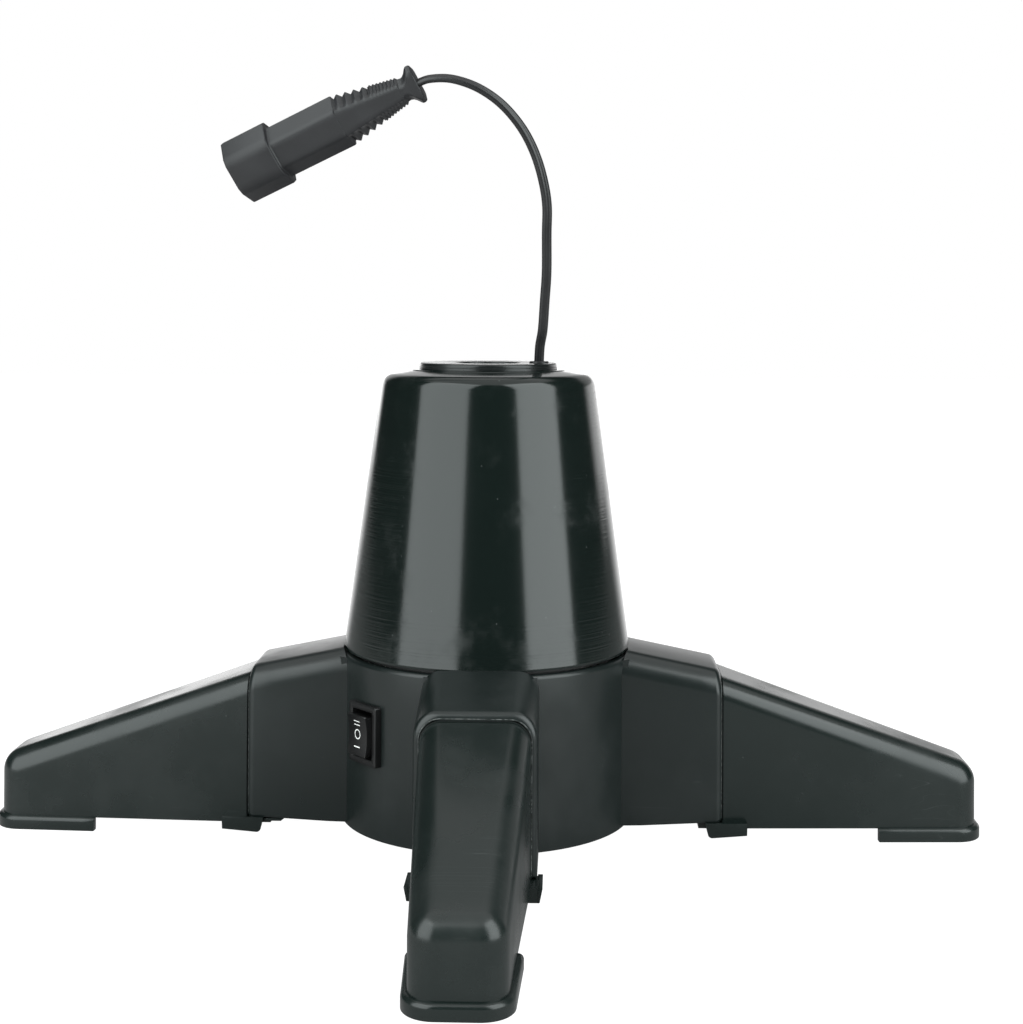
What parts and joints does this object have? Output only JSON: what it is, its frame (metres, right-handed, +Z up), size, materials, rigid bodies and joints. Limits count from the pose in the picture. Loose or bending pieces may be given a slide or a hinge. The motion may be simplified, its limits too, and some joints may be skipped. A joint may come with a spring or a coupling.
{
  "type": "rotating christmas tree stand",
  "caption": "Four-legged stand whose cone-shaped hub slowly turns a tree pole on a ball race, with a motor drive, rocker switch and rotating outlet lead.",
  "frame": {"origin": "on the hub's axis of rotation, at floor level under the feet", "axes": "+Z up along the hub axis and out of the pole socket, +X along the right leg, -Y along the front leg; the switch looks out between the front leg and the left leg"},
  "size_m": [0.534, 0.534, 0.4155],
  "materials": {
    "base_satin": "satin",
    "leg_satin": "satin",
    "hub_gloss": "gloss",
    "collar_black": "satin",
    "inner_black": "matte",
    "switch_black": "matte",
    "rocker_black": "satin",
    "cord_black": "satin",
    "coupler_black": "matte",
    "nylon": "satin",
    "board_brown": "satin",
    "copper": "polished",
    "brass_metal": "polished",
    "pin_nickel": "polished",
    "screw_steel": "bright zinc",
    "bearing_steel": "ground",
    "motor_steel": "zinc plated",
    "tube_steel": "drawn"
  },
  "bodies": {
    "base": {"base_housing": "base_satin", "bottom_cover": "base_satin", "cover_screws": "screw_steel", "leg_left": "leg_satin", "leg_right": "leg_satin", "leg_front": "leg_satin", "leg_back": "leg_satin", "lower_race": "bearing_steel", "lower_bush": "nylon", "motor_can": "motor_steel", "motor_gearbox": "motor_steel", "motor_screws": "screw_steel", "brush_holder": "inner_black", "brushes": "brass_metal", "terminal_block": "nylon", "switch_frame": "switch_black", "switch_terminals": "brass_metal", "strain_relief": "cord_black", "mains_cord": "cord_black", "mains_coil": "cord_black", "plug_tail": "cord_black", "plug_body": "coupler_black", "plug_pins": "pin_nickel"},
    "hub": {"hub_cone": "hub_gloss", "turntable_plate": "inner_black", "hub_screws": "screw_steel", "upper_race": "bearing_steel", "pole_tube": "tube_steel", "pole_stop": "tube_steel", "top_collar": "collar_black", "hub_gear": "nylon", "slip_ring_disc": "board_brown", "slip_rings": "copper", "retaining_ring": "bearing_steel", "lead_gland": "collar_black", "outlet_lead": "cord_black", "outlet_coupler": "coupler_black", "outlet_contacts": "brass_metal"},
    "motor_drive": {"motor_shaft": "bearing_steel", "motor_pinion": "nylon"},
    "ball_ring": {"ball_cage": "nylon", "bearing_balls": "bearing_steel"},
    "rocker": {"switch_rocker": "rocker_black"}
  },
  "joints": [
    {"name": "hub_spin", "type": "hinge", "parent": "base", "child": "hub", "pos_m": [0, 0, 0.0923], "axis": [0, 0, 1], "continuous": true},
    {"name": "motor_spin", "type": "hinge", "parent": "base", "child": "motor_drive", "pos_m": [0.02758, 0.02758, 0.05], "axis": [0, 0, 1], "continuous": true},
    {"name": "cage_spin", "type": "hinge", "parent": "base", "child": "ball_ring", "pos_m": [0, 0, 0.0923], "axis": [0, 0, 1], "continuous": true},
    {"name": "switch_rock", "type": "hinge", "parent": "base", "child": "rocker", "pos_m": [-0.05731, -0.04809, 0.061], "axis": [0.6428, -0.766, 0], "range_deg": [-11, 11]}
  ],
  "couplings": [
    {"joint": "motor_spin", "follows": "hub_spin", "ratio": -3},
    {"joint": "cage_spin", "follows": "hub_spin", "ratio": 0.5}
  ]
}
